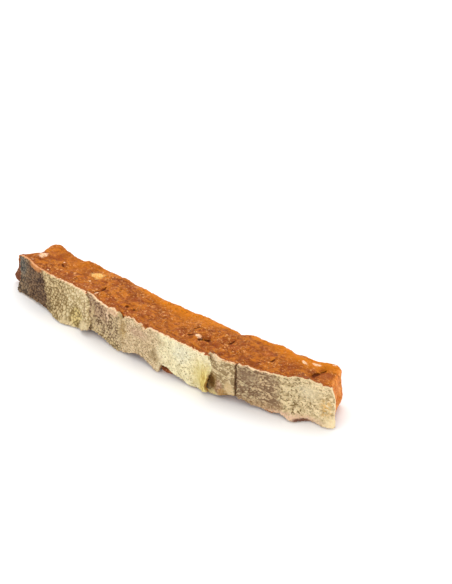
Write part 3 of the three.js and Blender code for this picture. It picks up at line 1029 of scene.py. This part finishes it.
# Painted in layers: olive specks on cream, paler to the right, streaks on brown beside the slit,
# tan and peach along the lower edge with a brown spot and a painted shadow, the cream corner, and
# painted shade at the slit's brink.
recipe = SkinRecipe("skin_brown_to_cream")
recipe.cover(recipe.specks((136, 112, 68), (230, 208, 164), 0.8, 0.51, 0.37))
recipe.paint(
    recipe.between(58, 80, 3.0) * 0.6,
    recipe.specks((156, 130, 80), (242, 220, 176), 0.75, 0.49, 0.34),
)
recipe.paint(recipe.patch(57.5, 11.2, 3.0, 2.4, 0, 0.8) * 0.5, colour(226, 212, 176))
recipe.paint(
    recipe.patch(63.4, 6.4, 1.8, 3.0, 0, 0.8) * recipe.rise(recipe.grit, 0.45, 0.6),
    colour(214, 168, 96),
)
recipe.paint(recipe.between(30, 48.5, 1.6, 0.2), recipe.worms((128, 100, 72), (204, 176, 136), 0.3))
recipe.paint(recipe.between(30, 42, 2.0) * 0.85, recipe.worms((118, 90, 64), (200, 178, 138)))
recipe.paint(
    recipe.patch(38.0, 12.0, 3.2, 2.2, 0, 0.6) * 0.7,
    recipe.grainy((112, 86, 62), (156, 128, 98)),
)
recipe.paint(
    recipe.between(30, 50, 2.0) * recipe.level(-4, 3.2) * 0.8,
    recipe.specks((160, 124, 84), (216, 184, 140), 0.9, 0.54, 0.38),
)
recipe.paint(
    recipe.patch(67.5, 1.6, 4.0, 2.6, 0, 0.6),
    recipe.grainy((230, 206, 156), (252, 234, 192)),
)
recipe.paint(
    recipe.patch(53.5, 1.1, 8.0, 1.4, 0, 0.6) * recipe.rise(recipe.grit, 0.3, 0.5),
    recipe.grainy((196, 152, 116), (250, 218, 188)),
)
recipe.paint(
    recipe.patch(46.3, 0.4, 2.8, 0.9, 0, 0.4),
    recipe.grainy((116, 62, 28), (176, 112, 60)),
)
# A painted shadow in the hollow under the lower edge.
recipe.paint(recipe.patch(56.4, 0.7, 2.4, 0.8, 0, 0.4), recipe.grainy((84, 50, 40), (136, 92, 70)))
recipe.paint(recipe.rise(recipe.x + recipe.drift * 0.15, 67.2, 68.6) * 0.8, colour(248, 230, 204))
# Painted shade at the brink of the slit.
recipe.paint(recipe.rise(recipe.x + (recipe.grit - 0.5) * 0.5, 34.95, 34.6), colour(130, 100, 70))
# The ends: brown by the slit as painted shade, cream at the right end.
end_rim = recipe.mix(recipe.rise(recipe.x, 40, 45), colour(134, 102, 70), colour(240, 218, 176))
fourth.data.materials.append(recipe.done(end_rim, (240, 208, 166), 46.0))
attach(fourth, "root")
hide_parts("skin_fourth")


# ---------------------------------------------------------------------------------------------
# The table, a plain white sweep, and soft studio light: a large soft box above and behind, a low
# fill from the front, and white all round.

TABLE_SIZE = 3.0
TABLE_BELOW = 0.00002       # how far under the stick the table lies, so that they don't flicker
bm = bmesh.new()
bmesh.ops.create_grid(bm, x_segments=1, y_segments=1, size=TABLE_SIZE)
bmesh.ops.translate(bm, verts=bm.verts, vec=(0, 0, -TABLE_BELOW))
table_mesh = bpy.data.meshes.new("table")
bm.to_mesh(table_mesh)
bm.free()
table = bpy.data.objects.new("table", table_mesh)
bpy.context.collection.objects.link(table)
recipe = Recipe("white_table")
tint = recipe.cloud(60.0, 2.0)
white = recipe.mix(tint, colour(250, 250, 250), colour(253, 253, 253))
table_mesh.materials.append(recipe.finish(white, 0.9, tint, 0.01))

world = bpy.data.worlds.new("studio")
bpy.context.scene.world = world
world.use_nodes = True
background = world.node_tree.nodes["Background"]
background.inputs["Color"].default_value = (1.0, 0.994, 0.988, 1)
background.inputs["Strength"].default_value = 1.04


def soft_box(name, stands, size, power, light_colour):
    """A round soft box that points at the stick."""
    light = bpy.data.lights.new(name, "AREA")
    light.shape = "DISK"
    light.size = size
    light.energy = power
    light.color = light_colour
    lamp = bpy.data.objects.new(name, light)
    lamp.location = stands
    lamp.rotation_mode = "QUATERNION"
    lamp.rotation_quaternion = (-Vector(stands)).to_track_quat("-Z", "Y")
    bpy.context.collection.objects.link(lamp)


soft_box("key", stands=(-0.22, 0.26, 0.9), size=0.7, power=3.0, light_colour=(1.0, 0.99, 0.97))
soft_box("fill", stands=(0.3, -0.85, 0.3), size=0.7, power=0.8, light_colour=(1.0, 0.98, 0.95))


# ---------------------------------------------------------------------------------------------
# The camera, at the angle of the photo: above the skin side and a little towards the right end.

AZIMUTH = np.radians(36.8)
ELEVATION = np.radians(32.0)
DISTANCE = 0.52
AIM = Vector(((SHIFT_X - 7.57) * MM, (SHIFT_Y + 33.93) * MM, 0.0))
LENS = 91.4

back = Vector(
    (
        np.sin(AZIMUTH) * np.cos(ELEVATION),
        -np.cos(AZIMUTH) * np.cos(ELEVATION),
        np.sin(ELEVATION),
    )
)
lens = bpy.data.cameras.new("camera")
lens.lens = LENS
lens.clip_start = 0.01
camera = bpy.data.objects.new("camera", lens)
camera.location = AIM + DISTANCE * back
camera.rotation_mode = "QUATERNION"
camera.rotation_quaternion = (-back).to_track_quat("-Z", "Y")
bpy.context.collection.objects.link(camera)
bpy.context.scene.camera = camera
bpy.context.scene.view_settings.view_transform = "Standard"
